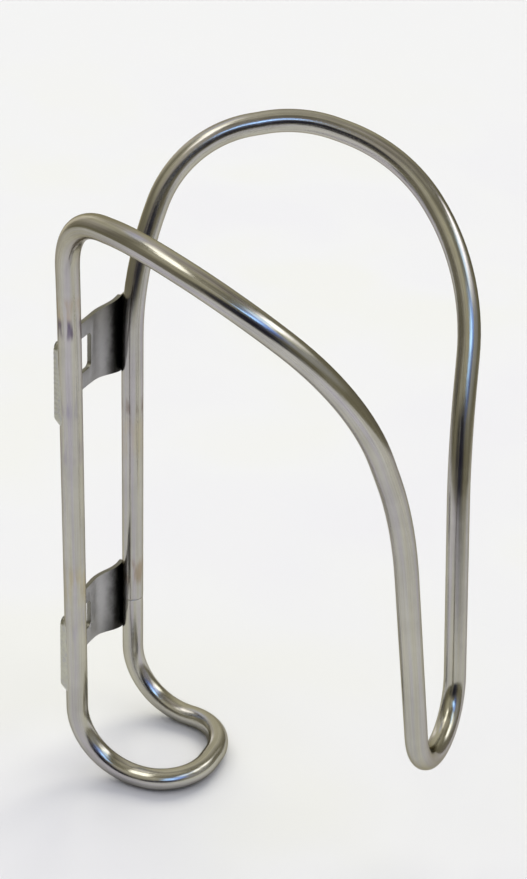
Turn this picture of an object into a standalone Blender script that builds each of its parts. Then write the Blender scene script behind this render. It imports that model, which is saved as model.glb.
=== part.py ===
"""Bottle cage: one bent stainless tube, joined end to end, with two sheet tabs welded behind it.

Metres. +Z points up, and the two rails lean back less than one degree from it as they rise.
+X points from the bicycle frame into the bottle space. The origin is midway between the two
bolt slots, on the plane where the tabs meet the bicycle frame.
"""

import math

import bmesh
import bpy
from mathutils import Vector

MM = 0.001

# Tube
TUBE_OD = 4.7 * MM
TUBE_WALL = 0.5 * MM
TUBE_SIDES = 16
BEND_STEP = math.radians(8)
FIT_GAP = 0.3 * MM

# Overall layout
SLOT_SPACING = 64.8 * MM
SEAM_Z = -32.4 * MM

# Bend table for one half of the tube, from the bottom loop to the front U.
# Each row is the corner where two straight runs would meet, and the bend radius there.
# The rail runs from the second corner to the third, leaning back a little as it rises.
HALF_BENDS = [
    (Vector((32.5 * MM, 11.9 * MM, -59.9 * MM)), 11.0 * MM),
    (Vector((6.4 * MM, 13.1 * MM, -60.9 * MM)), 14.8 * MM),
    (Vector((4.9 * MM, 13.3 * MM, 46.6 * MM)), 67.5 * MM),
    (Vector((10.4 * MM, 24.2 * MM, 73.5 * MM)), 24.8 * MM),
    (Vector((30.8 * MM, 37.6 * MM, 77.4 * MM)), 26.9 * MM),
    (Vector((51.5 * MM, 41.8 * MM, 72.2 * MM)), 33.5 * MM),
    (Vector((72.5 * MM, 31.9 * MM, 53.9 * MM)), 50.0 * MM),
    (Vector((77.4 * MM, 16.2 * MM, 22.5 * MM)), 66.0 * MM),
    (Vector((83.9 * MM, 11.1 * MM, -39.1 * MM)), 11.8 * MM),
]
RAIL_LOW, RAIL_HIGH = HALF_BENDS[1][0], HALF_BENDS[2][0]

# Sleeve inside the butt joint of the tube
PLUG_LENGTH = 16.0 * MM
PLUG_RADIUS = TUBE_OD / 2 - TUBE_WALL - FIT_GAP
PLUG_CHAMFER = 0.4 * MM

# Mounting tabs
SHEET = 1.0 * MM
RAIL_GAP = 0.4 * MM
PAD_HALF_WIDTH = 4.2 * MM
RAMP_END = 13.0 * MM
TAB_HALF_WIDTH = 13.8 * MM
TAB_WAIST = 7.5 * MM
TAB_END_HEIGHT = 9.3 * MM
TAB_CORNER = 1.6 * MM
SLOT_ABOVE_MIDDLE = 0.2 * MM
RAMP_STEPS = 12
CORNER_STEPS = 6
UPPER_SLOT = (5.8 * MM, 8.0 * MM)
LOWER_SLOT = (5.2 * MM, 7.0 * MM)
SLOT_CORNER = 2.0 * MM
SLOT_CORNER_STEPS = 6

# Weld beads along the ends of the tabs
BEAD_RADIUS = 0.35 * MM
BEAD_TIP_RADIUS = 0.18 * MM
BEAD_LENGTH = 15.0 * MM
BEAD_SIDES = 10


def clear_scene():
    for obj in list(bpy.data.objects):
        bpy.data.objects.remove(obj, do_unlink=True)


def steel(name, colour, roughness):
    material = bpy.data.materials.new(name)
    material.use_nodes = True
    shader = material.node_tree.nodes["Principled BSDF"]
    shader.inputs["Base Color"].default_value = (*colour, 1.0)
    shader.inputs["Metallic"].default_value = 1.0
    shader.inputs["Roughness"].default_value = roughness
    return material


def mesh_object(name, bm, material):
    bmesh.ops.recalc_face_normals(bm, faces=bm.faces)
    mesh = bpy.data.meshes.new(name)
    bm.to_mesh(mesh)
    bm.free()
    obj = bpy.data.objects.new(name, mesh)
    obj.data.materials.append(material)
    bpy.context.scene.collection.objects.link(obj)
    return obj


def mirrored(point):
    return Vector((point.x, -point.y, point.z))


def closed_bends():
    """The whole loop's bends: from the bottom loop up the left half and back down the right."""
    left = [(mirrored(corner), radius) for corner, radius in HALF_BENDS]
    return left + HALF_BENDS[::-1]


def arc_points(before, corner, after, radius):
    """Points along the bend of this radius that rounds off a corner between two straight runs."""
    arriving = (corner - before).normalized()
    leaving = (after - corner).normalized()
    turn = arriving.angle(leaving)
    inward = (leaving - arriving * arriving.dot(leaving)).normalized()
    start = corner - arriving * radius * math.tan(turn / 2)
    centre = start + inward * radius
    steps = max(2, math.ceil(turn / BEND_STEP))
    points = []
    for i in range(steps + 1):
        angle = turn * i / steps
        points.append(centre - inward * radius * math.cos(angle) + arriving * radius * math.sin(angle))
    return points


def tube_centreline():
    """From just below the butt joint on the right rail, round the whole cage, to just above it."""
    bends = closed_bends()
    arcs = []
    for i, (corner, radius) in enumerate(bends):
        before = bends[i - 1][0]
        after = bends[(i + 1) % len(bends)][0]
        arcs.append(arc_points(before, corner, after, radius))
    # The two bends below the joint close the table, and the line starts with them.
    points = [point for arc in arcs[-2:] + arcs[:-2] for point in arc]
    joint = rail_point(SEAM_Z)
    half_gap = Vector((0, 0, FIT_GAP / 2))
    return [joint - half_gap] + points + [joint + half_gap]


def rail_point(height):
    """The centre of the right rail at this height."""
    return RAIL_LOW.lerp(RAIL_HIGH, (height - RAIL_LOW.z) / (RAIL_HIGH.z - RAIL_LOW.z))


def make_tube(material):
    points = tube_centreline()
    curve = bpy.data.curves.new("frame_tube", "CURVE")
    curve.dimensions = "3D"
    curve.twist_mode = "MINIMUM"
    curve.bevel_depth = TUBE_OD / 2
    curve.bevel_resolution = (TUBE_SIDES - 4) // 2
    curve.use_fill_caps = False
    spline = curve.splines.new("POLY")
    spline.points.add(len(points) - 1)
    for slot, point in zip(spline.points, points):
        slot.co = (*point, 1.0)
    spline.use_smooth = True
    obj = bpy.data.objects.new("frame_tube", curve)
    curve.materials.append(material)
    bpy.context.scene.collection.objects.link(obj)
    wall = obj.modifiers.new("wall", "SOLIDIFY")
    wall.thickness = TUBE_WALL
    wall.offset = -1.0
    wall.use_rim = True
    return obj


def make_plug(material):
    """A short rod with chamfered ends, standing inside the rail across the butt joint."""
    half = PLUG_LENGTH / 2
    profile = [
        (PLUG_RADIUS - PLUG_CHAMFER, -half),
        (PLUG_RADIUS, -half + PLUG_CHAMFER),
        (PLUG_RADIUS, half - PLUG_CHAMFER),
        (PLUG_RADIUS - PLUG_CHAMFER, half),
    ]
    centre = rail_point(SEAM_Z)
    return turned_rod("joint_plug", profile, centre, TUBE_SIDES, material)


def turned_rod(name, profile, centre, sides, material):
    """A closed rod round a vertical axis, from rings of (radius, height)."""
    bm = bmesh.new()
    rings = []
    for radius, height in profile:
        ring = []
        for i in range(sides):
            angle = 2 * math.pi * i / sides
            offset = Vector((radius * math.cos(angle), radius * math.sin(angle), height))
            ring.append(bm.verts.new(centre + offset))
        rings.append(ring)
    for lower, upper in zip(rings, rings[1:]):
        for i in range(sides):
            j = (i + 1) % sides
            bm.faces.new((lower[i], lower[j], upper[j], upper[i]))
    bm.faces.new(rings[0][::-1])
    bm.faces.new(rings[-1])
    obj = mesh_object(name, bm, material)
    for face in obj.data.polygons:
        face.use_smooth = len(face.vertices) == 4
    return obj


def smooth_step(t):
    t = min(max(t, 0.0), 1.0)
    return t * t * (3 - 2 * t)


def sheet_front(y, rail_x):
    """X of the tab's front face: on the pad, then curving forward to lie behind the rail."""
    behind_rail = rail_x - TUBE_OD / 2 - RAIL_GAP
    along_ramp = (abs(y) - PAD_HALF_WIDTH) / (RAMP_END - PAD_HALF_WIDTH)
    return SHEET + (behind_rail - SHEET) * smooth_step(along_ramp)


def tab_half_height(y):
    """Half the tab's height: a waist, flaring to taller ends with rounded corners."""
    flare = (abs(y) / TAB_HALF_WIDTH) ** 2
    height = TAB_WAIST + (TAB_END_HEIGHT - TAB_WAIST) * flare
    into_corner = abs(y) - (TAB_HALF_WIDTH - TAB_CORNER)
    if into_corner > 0:
        height -= TAB_CORNER - math.sqrt(max(TAB_CORNER**2 - into_corner**2, 0.0))
    return height


def tab_stations():
    """Where the tab is cut into sections, from the middle out to its end."""
    stations = [PAD_HALF_WIDTH / 3, PAD_HALF_WIDTH * 2 / 3]
    for i in range(RAMP_STEPS + 1):
        stations.append(PAD_HALF_WIDTH + (RAMP_END - PAD_HALF_WIDTH) * i / RAMP_STEPS)
    corner_start = TAB_HALF_WIDTH - TAB_CORNER
    for i in range(1, CORNER_STEPS + 1):
        y = corner_start + TAB_CORNER * math.sin(math.pi / 2 * i / CORNER_STEPS)
        if y > RAMP_END:
            stations.append(y)
    return [-y for y in reversed(stations)] + stations


def sheet_section(bm, y, slot_z):
    """Four corners of the sheet's section at this station, with the thickness set off square to it."""
    step = 0.01 * MM
    rail_x = rail_point(slot_z).x
    slope = (sheet_front(y + step, rail_x) - sheet_front(y - step, rail_x)) / (2 * step)
    length = math.hypot(1.0, slope)
    front_x = sheet_front(y, rail_x)
    back_x = front_x - SHEET / length
    back_y = y + SHEET * slope / length
    middle_z = slot_z - SLOT_ABOVE_MIDDLE
    top, bottom = middle_z + tab_half_height(y), middle_z - tab_half_height(y)
    corners = ((front_x, y, top), (front_x, y, bottom), (back_x, back_y, bottom), (back_x, back_y, top))
    return [bm.verts.new(corner) for corner in corners]


def make_tab(name, slot_z, slot, material):
    bm = bmesh.new()
    sections = [sheet_section(bm, y, slot_z) for y in tab_stations()]
    for one, other in zip(sections, sections[1:]):
        for i in range(4):
            j = (i + 1) % 4
            bm.faces.new((one[i], one[j], other[j], other[i]))
    bm.faces.new(sections[0][::-1])
    bm.faces.new(sections[-1])
    tab = mesh_object(name, bm, material)
    cutter = make_slot_cutter(name + "_slot_cutter", slot_z, slot, material)
    cut = tab.modifiers.new("bolt_slot", "BOOLEAN")
    cut.operation = "DIFFERENCE"
    cut.solver = "EXACT"
    cut.object = cutter
    return tab


def slot_outline(width, length):
    """Upright rectangle with rounded corners, as (y, z) points round its centre."""
    points = []
    for quarter in range(4):
        side = 1 if quarter in (0, 3) else -1
        level = 1 if quarter in (0, 1) else -1
        centre_y = side * (width / 2 - SLOT_CORNER)
        centre_z = level * (length / 2 - SLOT_CORNER)
        for i in range(SLOT_CORNER_STEPS + 1):
            angle = math.pi / 2 * (quarter + i / SLOT_CORNER_STEPS)
            y = centre_y + SLOT_CORNER * math.cos(angle)
            z = centre_z + SLOT_CORNER * math.sin(angle)
            points.append((y, z))
    return points


def make_slot_cutter(name, slot_z, slot, material):
    """A bar with the slot's outline, running through the pad along X."""
    outline = slot_outline(*slot)
    bm = bmesh.new()
    back = [bm.verts.new((-SHEET, y, slot_z + z)) for y, z in outline]
    front = [bm.verts.new((2 * SHEET, y, slot_z + z)) for y, z in outline]
    for i in range(len(outline)):
        j = (i + 1) % len(outline)
        bm.faces.new((back[i], back[j], front[j], front[i]))
    bm.faces.new(back[::-1])
    bm.faces.new(front)
    cutter = mesh_object(name, bm, material)
    cutter.hide_render = True
    cutter.display_type = "WIRE"
    return cutter


def make_bead(name, side, slot_z, material):
    """The weld along a tab's end, in the corner between the end face and the rail."""
    bead_y = TAB_HALF_WIDTH + FIT_GAP + BEAD_RADIUS
    centre_z = slot_z - SLOT_ABOVE_MIDDLE
    rail = rail_point(centre_z)
    reach = TUBE_OD / 2 + RAIL_GAP + BEAD_RADIUS
    bead_x = rail.x - math.sqrt(reach**2 - (bead_y - rail.y) ** 2)
    half = BEAD_LENGTH / 2
    profile = [
        (BEAD_TIP_RADIUS, -half),
        (BEAD_RADIUS, -half + BEAD_RADIUS),
        (BEAD_RADIUS, half - BEAD_RADIUS),
        (BEAD_TIP_RADIUS, half),
    ]
    return turned_rod(name, profile, Vector((bead_x, side * bead_y, centre_z)), BEAD_SIDES, material)


def main():
    clear_scene()
    tube_steel = steel("tube_steel", (0.56, 0.55, 0.52), 0.28)
    plug_steel = steel("plug_steel", (0.50, 0.50, 0.50), 0.40)
    sheet_steel = steel("sheet_steel", (0.50, 0.50, 0.49), 0.45)
    weld_steel = steel("weld_steel", (0.42, 0.39, 0.36), 0.40)
    make_tube(tube_steel)
    make_plug(plug_steel)
    upper_z = SLOT_SPACING / 2
    lower_z = -SLOT_SPACING / 2
    make_tab("upper_tab", upper_z, UPPER_SLOT, sheet_steel)
    make_tab("lower_tab", lower_z, LOWER_SLOT, sheet_steel)
    make_bead("weld_upper_left", -1, upper_z, weld_steel)
    make_bead("weld_upper_right", 1, upper_z, weld_steel)
    make_bead("weld_lower_left", -1, lower_z, weld_steel)
    make_bead("weld_lower_right", 1, lower_z, weld_steel)


main()
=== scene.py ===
"""Looks for the bottle cage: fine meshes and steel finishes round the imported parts, on a pale floor.

Metres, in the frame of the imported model. +Z points up, +X from the bicycle frame into the bottle space.
"""

import math

import bmesh
import bpy
from mathutils import Matrix, Vector


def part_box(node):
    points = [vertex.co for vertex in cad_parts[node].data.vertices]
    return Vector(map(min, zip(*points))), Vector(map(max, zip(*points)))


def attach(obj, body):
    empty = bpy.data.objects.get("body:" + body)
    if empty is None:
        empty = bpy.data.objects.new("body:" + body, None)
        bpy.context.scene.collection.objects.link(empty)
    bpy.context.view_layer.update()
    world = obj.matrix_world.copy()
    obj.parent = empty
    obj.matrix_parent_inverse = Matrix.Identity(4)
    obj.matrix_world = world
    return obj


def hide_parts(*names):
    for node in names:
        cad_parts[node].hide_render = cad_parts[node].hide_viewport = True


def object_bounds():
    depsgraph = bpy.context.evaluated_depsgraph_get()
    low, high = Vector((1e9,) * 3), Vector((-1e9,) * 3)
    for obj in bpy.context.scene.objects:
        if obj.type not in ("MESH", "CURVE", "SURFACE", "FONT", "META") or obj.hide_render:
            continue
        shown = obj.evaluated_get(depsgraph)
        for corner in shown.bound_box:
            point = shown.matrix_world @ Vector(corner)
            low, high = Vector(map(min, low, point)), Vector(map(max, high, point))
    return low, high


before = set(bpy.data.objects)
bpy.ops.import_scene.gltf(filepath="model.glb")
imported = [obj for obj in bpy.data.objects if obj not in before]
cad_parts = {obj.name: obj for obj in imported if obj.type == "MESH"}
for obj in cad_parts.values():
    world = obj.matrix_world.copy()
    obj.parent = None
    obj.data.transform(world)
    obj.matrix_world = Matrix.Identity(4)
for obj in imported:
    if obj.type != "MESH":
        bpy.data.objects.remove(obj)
cad_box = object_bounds()

MM = 0.001

# Tube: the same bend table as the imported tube, from the bottom loop to the front U on one side.
# Each row is the corner where two straight runs would meet, and the bend radius there.
TUBE_RADIUS = 2.35 * MM
TUBE_WALL = 0.5 * MM
TUBE_SIDES = 48
BEND_STEP = math.radians(2.5)
STRAIGHT_STEP = 2.5 * MM
SHORTEST_RUN = 0.0001 * MM
HALF_BENDS = [
    (Vector((32.5 * MM, 11.9 * MM, -59.9 * MM)), 11.0 * MM),
    (Vector((6.4 * MM, 13.1 * MM, -60.9 * MM)), 14.8 * MM),
    (Vector((4.9 * MM, 13.3 * MM, 46.6 * MM)), 67.5 * MM),
    (Vector((10.4 * MM, 24.2 * MM, 73.5 * MM)), 24.8 * MM),
    (Vector((30.8 * MM, 37.6 * MM, 77.4 * MM)), 26.9 * MM),
    (Vector((51.5 * MM, 41.8 * MM, 72.2 * MM)), 33.5 * MM),
    (Vector((72.5 * MM, 31.9 * MM, 53.9 * MM)), 50.0 * MM),
    (Vector((77.4 * MM, 16.2 * MM, 22.5 * MM)), 66.0 * MM),
    (Vector((83.9 * MM, 11.1 * MM, -39.1 * MM)), 11.8 * MM),
]
RAIL_LOW, RAIL_HIGH = HALF_BENDS[1][0], HALF_BENDS[2][0]

# Butt joint of the tube, halfway up the plug inside it
PLUG_LOW, PLUG_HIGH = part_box("joint_plug")
SEAM_Z = (PLUG_LOW.z + PLUG_HIGH.z) / 2
SEAM_GAP = 0.02 * MM
SEAM_CHAMFER = 0.07 * MM
SEAM_CHAMFER_LENGTH = 0.14 * MM
SEAM_RINGS = (0.25, 0.55, 1.0, 1.6)
SIZED_END_DROP = 0.06 * MM
SIZED_END_LENGTH = 3.0 * MM

# Mounting tabs
SHEET = 1.0 * MM
PAD_HALF_WIDTH = 4.2 * MM
RAMP_END = 12.6 * MM
RAMP_FILLET = 0.40
TAB_WAIST = 7.5 * MM
TAB_CORNER = 1.2 * MM
RAIL_CLEARANCE = 0.03 * MM
EDGE_ROUNDING = 0.16 * MM
RAMP_STEPS = 30
CLOSEST_STATION = 0.05 * MM
SLOPE_NUDGE = 0.01 * MM
CORNER_STEPS = 8
SLOT_CORNER = 1.2 * MM
SLOT_CORNER_STEPS = 10
SLOT_SPACING = 64.8 * MM
UPPER_SLOT = (5.8 * MM, 8.0 * MM)
LOWER_SLOT = (5.2 * MM, 7.0 * MM)

# Weld beads: each tapers into the rail at both ends
BEAD_RADIUS = 0.55 * MM
BEAD_OVERRUN = 1.7 * MM
BEAD_TAPER = 1.9 * MM
BEAD_STEP = 0.12 * MM
BEAD_LEAN = 0.25 * MM
BEAD_HOLLOW = 0.05 * MM
RIPPLE_PITCH = 1.1 * MM
RIPPLE_DEPTH = 0.02 * MM
BEAD_END_DRAW_IN = 0.42
BEAD_WRAP = math.radians(100)
BEAD_SIDE_STEPS = 6
BEAD_WRAP_STEPS = 10
BEAD_LIFT = 0.01 * MM

FLOOR_Z = cad_box[0].z
CAGE_MIDDLE = (cad_box[0] + cad_box[1]) / 2


# ---------------------------------------------------------------- tube

def mirrored(point):
    return Vector((point.x, -point.y, point.z))


def rail_point(height):
    """The centre of the right rail at this height."""
    return RAIL_LOW.lerp(RAIL_HIGH, (height - RAIL_LOW.z) / (RAIL_HIGH.z - RAIL_LOW.z))


def arc_points(before, corner, after, radius):
    """Points along the bend of this radius that rounds off a corner between two straight runs."""
    arriving = (corner - before).normalized()
    leaving = (after - corner).normalized()
    turn = arriving.angle(leaving)
    inward = (leaving - arriving * arriving.dot(leaving)).normalized()
    start = corner - arriving * radius * math.tan(turn / 2)
    centre = start + inward * radius
    steps = max(4, math.ceil(turn / BEND_STEP))
    points = []
    for i in range(steps + 1):
        angle = turn * i / steps
        points.append(centre - inward * radius * math.cos(angle) + arriving * radius * math.sin(angle))
    return points


def tube_centreline():
    """From just below the butt joint on the right rail, round the whole cage, to just above it."""
    left = [(mirrored(corner), radius) for corner, radius in HALF_BENDS]
    bends = left + HALF_BENDS[::-1]
    arcs = []
    for i, (corner, radius) in enumerate(bends):
        before = bends[i - 1][0]
        after = bends[(i + 1) % len(bends)][0]
        arcs.append(arc_points(before, corner, after, radius))
    points = [point for arc in arcs[-2:] + arcs[:-2] for point in arc]
    joint = rail_point(SEAM_Z)
    half_gap = Vector((0, 0, SEAM_GAP / 2))
    return subdivided([joint - half_gap] + points + [joint + half_gap])


def subdivided(points):
    """The same line with long straight runs cut into steps, and short ones next to the joint."""
    line = [points[0]]
    for start, end in zip(points, points[1:]):
        run = (end - start).length
        if run < SHORTEST_RUN:
            continue
        steps = max(1, math.ceil(run / STRAIGHT_STEP))
        for i in range(1, steps + 1):
            line.append(start.lerp(end, i / steps))
    first, last = line[0], line[-1]
    after_first = (line[1] - first).normalized()
    before_last = (line[-2] - last).normalized()
    near = [SEAM_CHAMFER_LENGTH * share for share in SEAM_RINGS]
    head = [first] + [first + after_first * step for step in near]
    tail = [last + before_last * step for step in reversed(near)] + [last]
    return head + line[1:-1] + tail


def seam_radius(to_start, to_end):
    """The tube's radius this far along from its two ends: chamfered at both, sized down a little at one."""
    radius = TUBE_RADIUS
    nearest = min(to_start, to_end)
    if nearest < SEAM_CHAMFER_LENGTH:
        share = 1 - nearest / SEAM_CHAMFER_LENGTH
        radius -= SEAM_CHAMFER * share * share
    sized = max(0.0, 1 - to_start / SIZED_END_LENGTH)
    return radius - SIZED_END_DROP * sized * sized * (3 - 2 * sized)


def swept_tube(name, line, radius_at, sides):
    """A tube round this line. Its points carry their place on the unrolled surface, in metres."""
    along = [0.0]
    for start, end in zip(line, line[1:]):
        along.append(along[-1] + (end - start).length)
    bm = bmesh.new()
    unrolled = bm.verts.layers.float_vector.new("unrolled")
    across = None
    rings = []
    for i, point in enumerate(line):
        ahead = line[min(i + 1, len(line) - 1)]
        behind = line[max(i - 1, 0)]
        tangent = (ahead - behind).normalized()
        if across is None:
            across = tangent.orthogonal().normalized()
        across = (across - tangent * across.dot(tangent)).normalized()
        beside = tangent.cross(across)
        radius = radius_at(along[i], along[-1] - along[i])
        ring = []
        for k in range(sides):
            angle = 2 * math.pi * k / sides
            vert = bm.verts.new(point + (across * math.cos(angle) + beside * math.sin(angle)) * radius)
            vert[unrolled] = Vector((radius * math.cos(angle), radius * math.sin(angle), along[i]))
            ring.append(vert)
        rings.append(ring)
    for lower, upper in zip(rings, rings[1:]):
        for k in range(sides):
            j = (k + 1) % sides
            bm.faces.new((lower[k], lower[j], upper[j], upper[k]))
    return new_piece(name, bm)


def make_tube(material):
    tube = swept_tube("bent_tube", tube_centreline(), seam_radius, TUBE_SIDES)
    wall = tube.modifiers.new("wall", "SOLIDIFY")
    wall.thickness = TUBE_WALL
    wall.offset = -1.0
    finish_piece(tube, material, "frame_tube")


# ---------------------------------------------------------------- tabs

def straight_step(t):
    """Rises from 0 to 1 in a straight run with a short fillet at both ends."""
    t = min(max(t, 0.0), 1.0)
    if t < RAMP_FILLET:
        return t * t / (2 * RAMP_FILLET * (1 - RAMP_FILLET))
    if t > 1 - RAMP_FILLET:
        return 1 - (1 - t) ** 2 / (2 * RAMP_FILLET * (1 - RAMP_FILLET))
    return (t - RAMP_FILLET / 2) / (1 - RAMP_FILLET)


def make_tab(name, node, slot_z, slot, material):
    """A sheet tab: flat round its slot, curving forward on both sides to lie against the rails."""
    low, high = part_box(node)
    half_width = high.y
    end_half_height = (high.z - low.z) / 2
    middle_z = (high.z + low.z) / 2
    front_at_rail = rail_point(slot_z).x - TUBE_RADIUS - RAIL_CLEARANCE

    def front(y):
        along_ramp = (abs(y) - PAD_HALF_WIDTH) / (RAMP_END - PAD_HALF_WIDTH)
        return SHEET + (front_at_rail - SHEET) * straight_step(along_ramp)

    def half_height(y):
        height = TAB_WAIST + (end_half_height - TAB_WAIST) * (y / half_width) ** 2
        into_corner = abs(y) - (half_width - TAB_CORNER)
        if into_corner > 0:
            height -= TAB_CORNER - math.sqrt(max(TAB_CORNER**2 - into_corner**2, 0.0))
        return height

    bm = bmesh.new()
    sections = []
    for y in tab_stations(half_width):
        slope = (front(y + SLOPE_NUDGE) - front(y - SLOPE_NUDGE)) / (2 * SLOPE_NUDGE)
        length = math.hypot(1.0, slope)
        back_x = front(y) - SHEET / length
        back_y = y + SHEET * slope / length
        top, bottom = middle_z + half_height(y), middle_z - half_height(y)
        corners = ((front(y), y, top), (front(y), y, bottom), (back_x, back_y, bottom), (back_x, back_y, top))
        sections.append([bm.verts.new(corner) for corner in corners])
    for one, other in zip(sections, sections[1:]):
        for i in range(4):
            j = (i + 1) % 4
            bm.faces.new((one[i], one[j], other[j], other[i]))
    bm.faces.new(sections[0][::-1])
    bm.faces.new(sections[-1])
    bmesh.ops.recalc_face_normals(bm, faces=bm.faces)
    tab = new_piece(name, bm)
    cutter = make_slot_cutter(slot_z, slot)
    cut = tab.modifiers.new("bolt_slot", "BOOLEAN")
    cut.operation = "DIFFERENCE"
    cut.solver = "EXACT"
    cut.object = cutter
    apply_modifiers(tab)
    bpy.data.objects.remove(cutter, do_unlink=True)
    edges = tab.modifiers.new("edges", "BEVEL")
    edges.width = EDGE_ROUNDING
    edges.segments = 3
    edges.limit_method = "ANGLE"
    edges.angle_limit = math.radians(40)
    apply_modifiers(tab)
    tab.data.shade_smooth()
    tab.data.set_sharp_from_angle(angle=math.radians(50))
    finish_piece(tab, material, node)


def tab_stations(half_width):
    """Where the tab is cut into sections, from one end to the other."""
    stations = [PAD_HALF_WIDTH / 3, PAD_HALF_WIDTH * 2 / 3]
    for i in range(RAMP_STEPS + 1):
        stations.append(PAD_HALF_WIDTH + (RAMP_END - PAD_HALF_WIDTH) * i / RAMP_STEPS)
    for i in range(1, CORNER_STEPS + 1):
        y = half_width - TAB_CORNER + TAB_CORNER * math.sin(math.pi / 2 * i / CORNER_STEPS)
        if y > RAMP_END + CLOSEST_STATION:
            stations.append(y)
    return [-y for y in reversed(stations)] + stations


def make_slot_cutter(slot_z, slot):
    """A bar with the slot's outline, an upright rectangle with rounded corners, running along X."""
    width, length = slot
    outline = []
    for quarter in range(4):
        side = 1 if quarter in (0, 3) else -1
        level = 1 if quarter in (0, 1) else -1
        centre_y = side * (width / 2 - SLOT_CORNER)
        centre_z = slot_z + level * (length / 2 - SLOT_CORNER)
        for i in range(SLOT_CORNER_STEPS + 1):
            angle = math.pi / 2 * (quarter + i / SLOT_CORNER_STEPS)
            y = centre_y + SLOT_CORNER * math.cos(angle)
            z = centre_z + SLOT_CORNER * math.sin(angle)
            outline.append((y, z))
    bm = bmesh.new()
    back = [bm.verts.new((-SHEET, y, z)) for y, z in outline]
    front = [bm.verts.new((2 * SHEET, y, z)) for y, z in outline]
    for i in range(len(outline)):
        j = (i + 1) % len(outline)
        bm.faces.new((back[i], back[j], front[j], front[i]))
    bm.faces.new(back[::-1])
    bm.faces.new(front)
    bmesh.ops.recalc_face_normals(bm, faces=bm.faces)
    return new_piece("slot_cutter", bm)


# ---------------------------------------------------------------- welds

def make_bead(name, node, side, tab_half_width, material):
    """A smooth web of weld behind the rail: it wraps the tab's end and runs out to the rail's side."""
    low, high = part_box(node)
    half = (high.z - low.z) / 2 + BEAD_OVERRUN
    middle_z = (high.z + low.z) / 2
    back = TUBE_RADIUS + RAIL_CLEARANCE + SHEET / 2
    to_tab_end = Vector((-back, tab_half_width - rail_point(middle_z).y, 0))
    lean = Vector((0, BEAD_LEAN, 0))
    inside_wall = TUBE_RADIUS - TUBE_WALL / 2
    steps = math.ceil(2 * half / BEAD_STEP)
    bm = bmesh.new()
    rings = []
    for i in range(steps + 1):
        height = half * (-1 + 2 * i / steps)
        rail = rail_point(middle_z + height)
        into_end = max(0.0, abs(height) - half + BEAD_TAPER) / BEAD_TAPER
        edge = rail + (to_tab_end - lean * height / half) * (1 - BEAD_END_DRAW_IN * into_end**1.6)
        ripple = RIPPLE_DEPTH * math.cos(2 * math.pi * height / RIPPLE_PITCH)
        outline = bead_outline(rail, edge, inside_wall, ripple)
        rings.append([bm.verts.new((x, side * y, rail.z)) for x, y in outline])
    sides = len(rings[0])
    for lower, upper in zip(rings, rings[1:]):
        for k in range(sides):
            j = (k + 1) % sides
            bm.faces.new((lower[k], lower[j], upper[j], upper[k]))
    bm.faces.new(rings[0][::-1])
    bm.faces.new(rings[-1])
    bmesh.ops.recalc_face_normals(bm, faces=bm.faces)
    bead = new_piece(name, bm)
    bead.data.set_sharp_from_angle(angle=math.radians(60))
    finish_piece(bead, material, node)


def bead_outline(rail, edge, inside_wall, ripple):
    """The bead's outline at one height: from the rail's outer side, round the tab's end, into the rail."""
    apart = edge - rail
    towards = math.atan2(apart.y, apart.x)
    lean = math.acos(min(1.0, (TUBE_RADIUS - BEAD_RADIUS) / math.hypot(apart.x, apart.y)))
    outward = towards - lean
    normal = Vector((math.cos(outward), math.sin(outward), 0))
    leaves_rail = rail + normal * (TUBE_RADIUS + BEAD_LIFT)
    meets_edge = edge + normal * BEAD_RADIUS
    points = [rail + normal * inside_wall]
    for i in range(BEAD_SIDE_STEPS + 1):
        share = i / BEAD_SIDE_STEPS
        sag = BEAD_HOLLOW * math.sin(math.pi * share) - ripple * share
        points.append(leaves_rail.lerp(meets_edge, share) - normal * sag)
    for i in range(1, BEAD_WRAP_STEPS + 1):
        share = i / BEAD_WRAP_STEPS
        angle = outward + BEAD_WRAP * share
        radius = BEAD_RADIUS + ripple * (1 - share)
        points.append(edge + Vector((math.cos(angle), math.sin(angle), 0)) * radius)
    points.append(rail + Vector((math.cos(towards), math.sin(towards), 0)) * inside_wall)
    return [(point.x, point.y) for point in points]


# ---------------------------------------------------------------- pieces

def new_piece(name, bm):
    mesh = bpy.data.meshes.new(name)
    bm.to_mesh(mesh)
    bm.free()
    mesh.shade_smooth()
    piece = bpy.data.objects.new(name, mesh)
    bpy.context.scene.collection.objects.link(piece)
    return piece


def apply_modifiers(piece):
    """Replaces the piece's mesh with what its modifiers make of it."""
    graph = bpy.context.evaluated_depsgraph_get()
    mesh = bpy.data.meshes.new_from_object(piece.evaluated_get(graph), depsgraph=graph)
    piece.modifiers.clear()
    piece.data = mesh


def finish_piece(piece, material, node):
    piece.data.materials.clear()
    piece.data.materials.append(material)
    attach(piece, "root")
    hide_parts(node)


# ---------------------------------------------------------------- node helpers

def new_material(name):
    material = bpy.data.materials.new(name)
    material.use_nodes = True
    return material, material.node_tree


def node(tree, kind, **settings):
    made = tree.nodes.new(kind)
    for key, value in settings.items():
        setattr(made, key, value)
    return made


def feed(tree, socket, value):
    """Joins a socket to this input, or sets it where the value is a number or a colour."""
    if isinstance(value, bpy.types.NodeSocket):
        tree.links.new(value, socket)
    else:
        socket.default_value = value


def maths(tree, operation, *values):
    made = node(tree, "ShaderNodeMath", operation=operation)
    for socket, value in zip(made.inputs, values):
        feed(tree, socket, value)
    return made.outputs[0]


def dot(tree, vector, axis):
    made = node(tree, "ShaderNodeVectorMath", operation="DOT_PRODUCT")
    feed(tree, made.inputs[0], vector)
    feed(tree, made.inputs[1], axis)
    return made.outputs["Value"]


def scaled(tree, vector, scale):
    made = node(tree, "ShaderNodeVectorMath", operation="MULTIPLY")
    feed(tree, made.inputs[0], vector)
    feed(tree, made.inputs[1], scale)
    return made.outputs[0]


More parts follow.
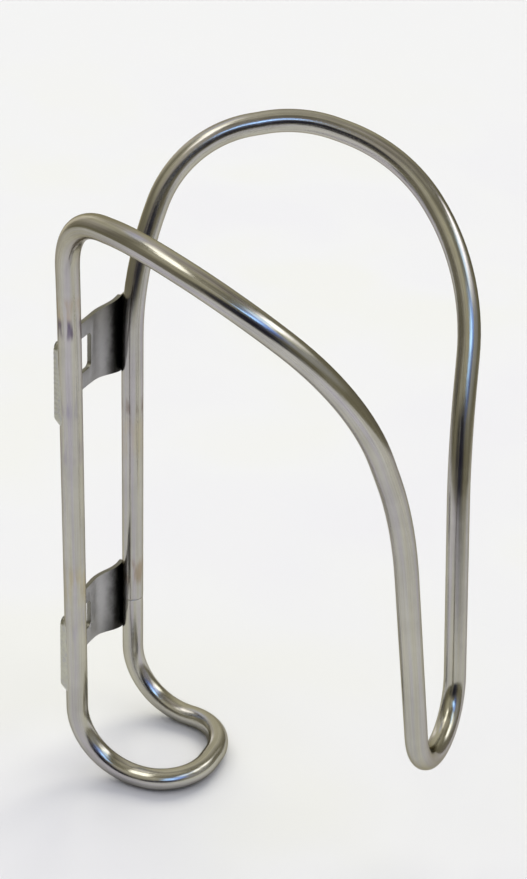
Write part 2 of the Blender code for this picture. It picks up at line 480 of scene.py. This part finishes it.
def ranged(tree, value, low, high, to_low=0.0, to_high=1.0):
    made = node(tree, "ShaderNodeMapRange")
    made.interpolation_type = "SMOOTHSTEP"
    feed(tree, made.inputs["Value"], value)
    for name, number in (("From Min", low), ("From Max", high), ("To Min", to_low), ("To Max", to_high)):
        made.inputs[name].default_value = number
    return made.outputs["Result"]


def noise(tree, vector, scale, detail=2.0, roughness=0.5):
    made = node(tree, "ShaderNodeTexNoise")
    feed(tree, made.inputs["Vector"], vector)
    made.inputs["Scale"].default_value = scale
    made.inputs["Detail"].default_value = detail
    made.inputs["Roughness"].default_value = roughness
    return made.outputs["Fac"]


def mixed(tree, factor, first, second, blend="MIX"):
    """Two colours mixed. Inputs 6 and 7 and output 2 are the node's colour sockets."""
    made = node(tree, "ShaderNodeMix", data_type="RGBA", blend_type=blend)
    feed(tree, made.inputs["Factor"], factor)
    for socket, value in ((made.inputs[6], first), (made.inputs[7], second)):
        feed(tree, socket, value if isinstance(value, bpy.types.NodeSocket) else (*value, 1.0))
    return made.outputs[2]


def ramp(tree, factor, stops):
    made = node(tree, "ShaderNodeValToRGB")
    feed(tree, made.inputs["Fac"], factor)
    elements = made.color_ramp.elements
    for element, (position, colour) in zip((elements[0], elements[1]), (stops[0], stops[-1])):
        element.position = position
        element.color = (*colour, 1.0)
    for position, colour in stops[1:-1]:
        elements.new(position).color = (*colour, 1.0)
    return made.outputs["Color"]


def bumped(tree, height, distance, strength=1.0):
    made = node(tree, "ShaderNodeBump")
    feed(tree, made.inputs["Height"], height)
    made.inputs["Distance"].default_value = distance
    made.inputs["Strength"].default_value = strength
    return made.outputs["Normal"]


def metal_shader(tree, colour, roughness, normal=None):
    shader = tree.nodes["Principled BSDF"]
    shader.inputs["Metallic"].default_value = 1.0
    feed(tree, shader.inputs["Base Color"], colour)
    feed(tree, shader.inputs["Roughness"], roughness)
    if normal is not None:
        feed(tree, shader.inputs["Normal"], normal)
    return shader


# ---------------------------------------------------------------- finishes

TUBE_COLOUR = (0.465, 0.452, 0.415)
SHEET_COLOUR = (0.44, 0.435, 0.445)
WELD_COLOUR = (0.46, 0.455, 0.42)
PLUG_COLOUR = (0.42, 0.42, 0.41)
# Painted shade: near black for the crevice where each tab turns up to the rail
CREVICE_SHADE_COLOUR = (0.020, 0.019, 0.018)
# Darker tint for the tabs' edge faces all round
EDGE_FACE_TINT = (0.50, 0.49, 0.41)
# How the polished tube darkens towards its outline
EDGE_TINT = (0.50, 0.47, 0.38)

# Depth of the fine relief on each steel
TUBE_LINE_DEPTH = 0.042 * MM
SHEET_GRAIN_DEPTH = 0.004 * MM
WELD_GRAIN_DEPTH = 0.003 * MM
PLUG_LINE_DEPTH = 0.003 * MM

# Painted shade: where the near-black crevice shade on the tabs begins and is complete, from the middle of the
# cage
CREVICE_SHADE_START = 6.4 * MM
CREVICE_SHADE_FULL = 10.8 * MM
CREVICE_SHADE_RAGGEDNESS = 0.3 * MM

# Heat marks on the rails: side, height, half length, strength, tint
HEAT_MARKS = [
    (-1, 46.0 * MM, 3.2 * MM, 1.00, (0.34, 0.30, 0.42)),
    (-1, 50.5 * MM, 4.0 * MM, 0.60, (0.88, 0.74, 0.56)),
    (-1, 28.0 * MM, 3.0 * MM, 0.60, (0.74, 0.72, 0.86)),
    (-1, 18.0 * MM, 4.0 * MM, 0.60, (0.76, 0.73, 0.86)),
    (-1, -13.5 * MM, 6.0 * MM, 0.60, (0.94, 0.85, 0.66)),
    (-1, -23.5 * MM, 6.0 * MM, 0.60, (0.86, 0.85, 1.00)),
    (1, 16.5 * MM, 2.5 * MM, 0.80, (0.62, 0.54, 0.50)),
    (1, 9.0 * MM, 7.0 * MM, 0.50, (0.96, 0.88, 0.72)),
    (1, -25.0 * MM, 4.5 * MM, 0.80, (0.70, 0.58, 0.46)),
]


def tube_steel():
    material, tree = new_material("satin_tube_steel")
    unrolled = node(tree, "ShaderNodeAttribute", attribute_name="unrolled").outputs["Vector"]
    position = node(tree, "ShaderNodeNewGeometry").outputs["Position"]

    # Lengthwise lines from drawing and polishing, a slow uneven sheen, and a faint drift of hue.
    lines = noise(tree, scaled(tree, unrolled, (1, 1, 0.012)), 4200, 3.0, 0.6)
    wide_lines = noise(tree, scaled(tree, unrolled, (1, 1, 0.02)), 1500, 2.0, 0.5)
    sheen = noise(tree, unrolled, 120, 3.0, 0.6)
    smudges = noise(tree, unrolled, 420, 2.0, 0.5)
    drift = ramp(tree, noise(tree, scaled(tree, unrolled, (1, 1, 0.03)), 800, 2.0, 0.5), [
        (0.34, (0.98, 0.96, 1.07)),
        (0.48, (1.00, 1.00, 1.00)),
        (0.64, (1.02, 1.01, 0.93)),
    ])

    # Heat tint left on the rails by the welds, drawn out into streaks along them.
    streaks = noise(tree, scaled(tree, unrolled, (1, 1, 0.12)), 900, 2.0, 0.5)
    patchy = ranged(tree, streaks, 0.40, 0.62)
    heat = mixed(tree, 0.0, (1, 1, 1), (1, 1, 1))
    for side, height, half_length, strength, tint in HEAT_MARKS:
        apart = maths(tree, "ABSOLUTE", maths(tree, "SUBTRACT", dot(tree, position, (0, 0, 1)), height))
        along = ranged(tree, apart, 0.3 * half_length, half_length, strength, 0.0)
        this_rail = ranged(tree, dot(tree, position, (0, side, 0)), 8 * MM, 9 * MM)
        amount = maths(tree, "MULTIPLY", maths(tree, "MULTIPLY", along, this_rail), patchy)
        heat = mixed(tree, amount, heat, mixed(tree, 1.0, heat, tint, "MULTIPLY"))
    on_rails = ranged(tree, dot(tree, position, (1, 0, 0)), 9 * MM, 13 * MM, 1.0, 0.0)

    shade = ranged(tree, sheen, 0.3, 0.7, 0.93, 1.05)
    fine_shade = ranged(tree, lines, 0.3, 0.7, 0.91, 1.06)
    grey = maths(tree, "MULTIPLY", shade, fine_shade)
    steel = mixed(tree, 1.0, mixed(tree, 1.0, TUBE_COLOUR, drift, "MULTIPLY"), grey, "MULTIPLY")
    colour = mixed(tree, on_rails, steel, mixed(tree, 1.0, steel, heat, "MULTIPLY"))

    line_rough = ranged(tree, lines, 0.3, 0.7, -0.02, 0.02)
    sheen_rough = ranged(tree, sheen, 0.3, 0.7, 0.165, 0.205)
    rough = maths(tree, "ADD", line_rough, sheen_rough)
    rough = maths(tree, "ADD", rough, ranged(tree, smudges, 0.35, 0.65, -0.01, 0.02))
    fine_relief = maths(tree, "MULTIPLY", lines, 0.35)
    wide_relief = maths(tree, "MULTIPLY", wide_lines, 0.65)
    relief = maths(tree, "ADD", fine_relief, wide_relief)
    shader = metal_shader(tree, colour, rough, bumped(tree, relief, TUBE_LINE_DEPTH))
    shader.inputs["Specular Tint"].default_value = (*EDGE_TINT, 1.0)
    return material


def sheet_steel():
    material, tree = new_material("matte_sheet_steel")
    position = node(tree, "ShaderNodeNewGeometry").outputs["Position"]
    grain = noise(tree, scaled(tree, position, (1, 0.12, 1)), 5200, 3.0, 0.6)
    mottle = noise(tree, position, 520, 3.0, 0.6)
    pits = noise(tree, position, 2400, 1.0, 0.4)

    # Painted shade: near black on the sheet's front where it turns up to the weld, in the crevice by the
    # rail. The edge faces all round are darker and duller.
    sideways = maths(tree, "ABSOLUTE", dot(tree, position, (0, 1, 0)))
    ragged = maths(tree, "ADD", sideways, ranged(tree, mottle, 0.3, 0.7, -CREVICE_SHADE_RAGGEDNESS, CREVICE_SHADE_RAGGEDNESS))
    crevice_shade = ranged(tree, ragged, CREVICE_SHADE_START, CREVICE_SHADE_FULL)
    normal = node(tree, "ShaderNodeNewGeometry").outputs["Normal"]
    facing_front = ranged(tree, dot(tree, normal, (1, 0, 0)), 0.1, 0.5)
    crevice_shade = maths(tree, "MULTIPLY", crevice_shade, facing_front)
    # The faces that don't look along X, the edges all round, are made darker
    edge_faces = ranged(tree, maths(tree, "ABSOLUTE", dot(tree, normal, (1, 0, 0))), 0.25, 0.60, 1.0, 0.0)

    mottle_shade = ranged(tree, mottle, 0.3, 0.7, 0.92, 1.05)
    grain_shade = ranged(tree, grain, 0.3, 0.7, 0.96, 1.03)
    grey = maths(tree, "MULTIPLY", mottle_shade, grain_shade)
    steel = mixed(tree, 1.0, SHEET_COLOUR, grey, "MULTIPLY")
    steel = mixed(tree, edge_faces, steel, mixed(tree, 1.0, steel, EDGE_FACE_TINT, "MULTIPLY"))
    # Painted shade: the crevice by the rails laid over the steel in near black
    colour = mixed(tree, crevice_shade, steel, CREVICE_SHADE_COLOUR)
    mottle_rough = ranged(tree, mottle, 0.3, 0.7, 0.34, 0.42)
    grain_rough = ranged(tree, grain, 0.3, 0.7, -0.03, 0.04)
    rough = maths(tree, "ADD", mottle_rough, grain_rough)
    relief = maths(tree, "ADD", grain, ranged(tree, pits, 0.62, 0.74, 0.0, -1.0))
    metal_shader(tree, colour, rough, bumped(tree, relief, SHEET_GRAIN_DEPTH, 0.7))
    return material


def weld_steel():
    material, tree = new_material("weld_bead_steel")
    position = node(tree, "ShaderNodeNewGeometry").outputs["Position"]
    patchy = noise(tree, position, 900, 2.0, 0.5)
    fine = noise(tree, position, 3600, 2.0, 0.5)
    tint = ramp(tree, patchy, [
        (0.30, (0.88, 0.88, 0.92)),
        (0.44, (0.96, 0.95, 0.91)),
        (0.56, (1.00, 1.00, 0.90)),
        (0.68, (1.04, 1.04, 0.98)),
    ])
    colour = mixed(tree, 1.0, WELD_COLOUR, tint, "MULTIPLY")
    rough = ranged(tree, fine, 0.3, 0.7, 0.26, 0.42)
    metal_shader(tree, colour, rough, bumped(tree, fine, WELD_GRAIN_DEPTH, 0.5))
    return material


def plug_steel():
    material, tree = new_material("turned_plug_steel")
    position = node(tree, "ShaderNodeNewGeometry").outputs["Position"]
    turned = noise(tree, scaled(tree, position, (0.02, 0.02, 1)), 9000, 2.0, 0.5)
    grey = ranged(tree, turned, 0.3, 0.7, 0.92, 1.05)
    colour = mixed(tree, 1.0, PLUG_COLOUR, grey, "MULTIPLY")
    rough = ranged(tree, turned, 0.3, 0.7, 0.28, 0.38)
    metal_shader(tree, colour, rough, bumped(tree, turned, PLUG_LINE_DEPTH, 0.6))
    return material


# ---------------------------------------------------------------- surroundings

def heading(azimuth, elevation):
    """Unit vector for an azimuth round +Z from +X, and an elevation, both in degrees."""
    a, e = math.radians(azimuth), math.radians(elevation)
    return Vector((math.cos(a) * math.cos(e), math.sin(a) * math.cos(e), math.sin(e)))


# Soft patches of the room that the steel mirrors, over a dim warm grey: (azimuth, elevation,
# half width, half height and tilt in degrees, softness of the edge, colour).
ROOM_COLOUR = (0.255, 0.236, 0.172)
ROOM_PATCHES = [
    (0, 90, 19, 19, 0, 0.40, (0.55, 0.52, 0.42)),
    (131, 28, 42, 44, 0, 0.30, (0.70, 0.67, 0.55)),
    (158, 53, 16, 8, 0, 0.50, (0.78, 0.80, 0.95)),
    (142, -6, 8, 25, 0, 0.30, (1.50, 1.47, 1.38)),
    (-106, 37, 32, 20, 0, 0.40, (0.60, 0.57, 0.45)),
    (0, 20, 28, 14, 0, 0.40, (0.43, 0.43, 0.43)),
    (-74, 1, 36, 21, -8, 0.35, (0.028, 0.027, 0.042)),
    (-40, 24, 16, 9, 10, 0.40, (0.14, 0.18, 0.40)),
    (26, 35, 24, 8, -6, 0.30, (1.10, 1.08, 0.97)),
    (15, 45, 27, 7.5, -5, 0.22, (3.00, 3.00, 2.85)),
    (-13, 48, 15, 6.5, 0, 0.35, (1.35, 1.70, 2.20)),
    (-40, 34, 17, 7, 0, 0.35, (0.50, 0.80, 1.80)),
    (-53, 33, 11, 3.8, 0, 0.40, (1.80, 3.00, 5.00)),
    (-121, 58, 9, 10, 30, 0.25, (3.00, 2.95, 2.70)),
    (-150, 67, 12, 8, 20, 0.25, (3.00, 2.95, 2.70)),
    (172, 70, 11, 7, 0, 0.45, (1.60, 1.55, 1.40)),
]


def room_colour(tree, direction):
    """The room's colour in a direction: the patches laid over each other in turn."""
    colour = mixed(tree, 0.0, ROOM_COLOUR, ROOM_COLOUR)
    for azimuth, elevation, half_width, half_height, tilt, softness, patch in ROOM_PATCHES:
        middle = heading(azimuth, elevation)
        turn = Matrix.Rotation(math.radians(tilt), 3, middle)
        beside = turn @ Vector((-middle.y, middle.x, 0)).normalized()
        above = middle.cross(beside)
        across = dot(tree, direction, beside / math.sin(math.radians(half_width)))
        upward = dot(tree, direction, above / math.sin(math.radians(half_height)))
        squares = maths(tree, "ADD", maths(tree, "POWER", across, 2.0), maths(tree, "POWER", upward, 2.0))
        radius = maths(tree, "SQRT", squares)
        inside = ranged(tree, radius, 1 - softness, 1 + softness, 1.0, 0.0)
        this_side = ranged(tree, dot(tree, direction, middle), 0.0, 0.2)
        colour = mixed(tree, maths(tree, "MULTIPLY", inside, this_side), colour, patch)
    return colour


# The far floor as the steel mirrors it: lit paper below these elevations, the room above them
LIT_FLOOR = (0.86, 0.86, 0.88)
FLOOR_EDGE_LOW = math.radians(-20.5)
FLOOR_EDGE_HIGH = math.radians(-16.8)


def make_world():
    """The room and the far floor, seen only in reflections."""
    world = bpy.data.worlds.new("room")
    world.use_nodes = True
    tree = world.node_tree
    direction = node(tree, "ShaderNodeTexCoord").outputs["Generated"]
    background = tree.nodes["Background"]
    rise = dot(tree, direction, (0, 0, 1))
    above_floor = ranged(tree, rise, math.sin(FLOOR_EDGE_LOW), math.sin(FLOOR_EDGE_HIGH))
    colour = mixed(tree, above_floor, LIT_FLOOR, room_colour(tree, direction))
    feed(tree, background.inputs["Color"], colour)
    world.cycles_visibility.camera = False
    world.cycles_visibility.diffuse = False
    bpy.context.scene.world = world


def emitter(name, colour):
    material, tree = new_material(name)
    tree.nodes.remove(tree.nodes["Principled BSDF"])
    glow = node(tree, "ShaderNodeEmission")
    glow.inputs["Color"].default_value = (*colour, 1.0)
    tree.links.new(glow.outputs[0], tree.nodes["Material Output"].inputs["Surface"])
    return material


def stage_object(name, bm, material):
    piece = new_piece(name, bm)
    piece.data.materials.append(material)
    return piece


def hide_from_all_but_camera(obj):
    obj.visible_glossy = False
    obj.visible_diffuse = False
    obj.visible_transmission = False
    obj.visible_volume_scatter = False
    obj.visible_shadow = False


# The floor near the cage is mirrored in the steel. The rest isn't: the world stands in for it.
NEAR_FLOOR_RADIUS = 150 * MM
FLOOR_RADIUS = 6.0
FLOOR_SIDES = 96
BACKDROP_RADIUS = 6.5
PAPER_COLOUR = (0.82, 0.82, 0.82)
# Painted shade: the paper darker and a little bluer beyond 120 mm along +X
PAPER_PAINTED_SHADE = (0.94, 0.94, 0.99)
BACKDROP_COLOUR = (0.90, 0.90, 0.905)


def make_floor():
    material, tree = new_material("pale_floor")
    shader = tree.nodes["Principled BSDF"]
    position = node(tree, "ShaderNodeNewGeometry").outputs["Position"]
    clouding = ramp(tree, noise(tree, position, 14, 2.0, 0.5), [
        (0.34, (0.985, 0.980, 1.000)),
        (0.50, (1.000, 1.000, 1.000)),
        (0.64, (1.000, 1.000, 0.965)),
    ])
    # Painted shade: the paper turns darker and bluer from 120 to 220 mm along +X, fading out 300 to 600 mm
    # from the origin
    painted_shade_along_x = ranged(tree, dot(tree, position, (1, -0.15, 0)), 120 * MM, 220 * MM)
    distance = node(tree, "ShaderNodeVectorMath", operation="LENGTH")
    feed(tree, distance.inputs[0], position)
    nearby = ranged(tree, distance.outputs["Value"], 300 * MM, 600 * MM, 1.0, 0.0)
    painted_shade_along_x = maths(tree, "MULTIPLY", painted_shade_along_x, nearby)
    clouding = mixed(tree, nearby, (1, 1, 1), clouding)
    paper = mixed(tree, 1.0, PAPER_COLOUR, clouding, "MULTIPLY")
    paper = mixed(tree, painted_shade_along_x, paper, mixed(tree, 1.0, paper, PAPER_PAINTED_SHADE, "MULTIPLY"))
    feed(tree, shader.inputs["Base Color"], paper)
    shader.inputs["Roughness"].default_value = 0.9
    shader.inputs["Specular IOR Level"].default_value = 0.1
    bm = bmesh.new()
    bm.faces.new(floor_circle(bm, NEAR_FLOOR_RADIUS))
    stage_object("near_floor", bm, material)
    bm = bmesh.new()
    inner = floor_circle(bm, NEAR_FLOOR_RADIUS)
    outer = floor_circle(bm, FLOOR_RADIUS)
    for i in range(FLOOR_SIDES):
        j = (i + 1) % FLOOR_SIDES
        bm.faces.new((inner[i], outer[i], outer[j], inner[j]))
    far_floor = stage_object("far_floor", bm, material)
    far_floor.visible_glossy = False


def floor_circle(bm, radius):
    """A ring of points on the floor, round the middle of the cage."""
    points = []
    for i in range(FLOOR_SIDES):
        angle = 2 * math.pi * i / FLOOR_SIDES
        x = CAGE_MIDDLE.x + radius * math.cos(angle)
        y = CAGE_MIDDLE.y + radius * math.sin(angle)
        points.append(bm.verts.new((x, y, FLOOR_Z)))
    return points


def make_backdrop():
    """A pale globe that only the camera sees, so the floor's far edge melts away from every side."""
    material = emitter("pale_backdrop", BACKDROP_COLOUR)
    bm = bmesh.new()
    bmesh.ops.create_uvsphere(bm, u_segments=64, v_segments=32, radius=BACKDROP_RADIUS)
    hide_from_all_but_camera(stage_object("backdrop", bm, material))


# Colours of the lamps: together they leave the paper neutral
WARM_LIGHT = (1.0, 0.971, 0.825)
SKY_LIGHT = (0.76, 0.80, 1.0)


def make_sun(name, azimuth, elevation, spread, strength, colour):
    """Soft light on the floor from one side. It isn't mirrored in the steel."""
    light = bpy.data.lights.new(name, "SUN")
    light.angle = math.radians(spread)
    light.energy = strength
    light.color = colour
    lamp = bpy.data.objects.new(name, light)
    lamp.rotation_mode = "QUATERNION"
    lamp.rotation_quaternion = heading(azimuth, elevation).to_track_quat("Z", "Y")
    lamp.visible_glossy = False
    lamp.visible_camera = False
    bpy.context.scene.collection.objects.link(lamp)


# Where the photograph was taken from: the camera looks back along this heading, rolled a little.
CAMERA_PLACE = Vector((169.695 * MM, -307.860 * MM, 204.545 * MM))
CAMERA_AZIMUTH = -67.398
CAMERA_ELEVATION = 28.554
CAMERA_ROLL = 2.807
CAMERA_LENS = 77.82


def make_camera():
    data = bpy.data.cameras.new("camera")
    data.lens = CAMERA_LENS
    data.sensor_width = 36.0
    data.clip_start = 0.02
    data.clip_end = 50.0
    camera = bpy.data.objects.new("camera", data)
    back = heading(CAMERA_AZIMUTH, CAMERA_ELEVATION)
    level = Vector((-back.y, back.x, 0)).normalized()
    right = Matrix.Rotation(math.radians(CAMERA_ROLL), 3, back) @ level
    turn = Matrix((right, back.cross(right), back)).transposed().to_4x4()
    camera.matrix_world = Matrix.Translation(CAMERA_PLACE) @ turn
    bpy.context.scene.collection.objects.link(camera)
    bpy.context.scene.camera = camera


# ---------------------------------------------------------------- build

make_tube(tube_steel())
sheet = sheet_steel()
weld = weld_steel()
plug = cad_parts["joint_plug"]
plug.data.materials.clear()
plug.data.materials.append(plug_steel())
TABS = [
    ("upper", SLOT_SPACING / 2, UPPER_SLOT),
    ("lower", -SLOT_SPACING / 2, LOWER_SLOT),
]
for level, slot_z, slot in TABS:
    make_tab(f"{level}_mounting_tab", f"{level}_tab", slot_z, slot, sheet)
    tab_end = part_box(f"{level}_tab")[1].y
    for word, side in (("left", -1), ("right", 1)):
        make_bead(f"bead_{level}_{word}", f"weld_{level}_{word}", side, tab_end, weld)

make_world()
make_floor()
make_backdrop()
make_sun("window_behind", 94, 46, 34, 1.35, WARM_LIGHT)
make_sun("window_behind_left", 140, 38, 36, 0.90, WARM_LIGHT)
make_sun("lamp_left", -130, 62, 65, 0.55, WARM_LIGHT)
make_sun("lamp_right", 15, 46, 50, 0.35, WARM_LIGHT)
make_sun("overhead_fill", 90, 80, 140, 1.60, SKY_LIGHT)
make_camera()
bpy.context.scene.view_settings.view_transform = "Standard"
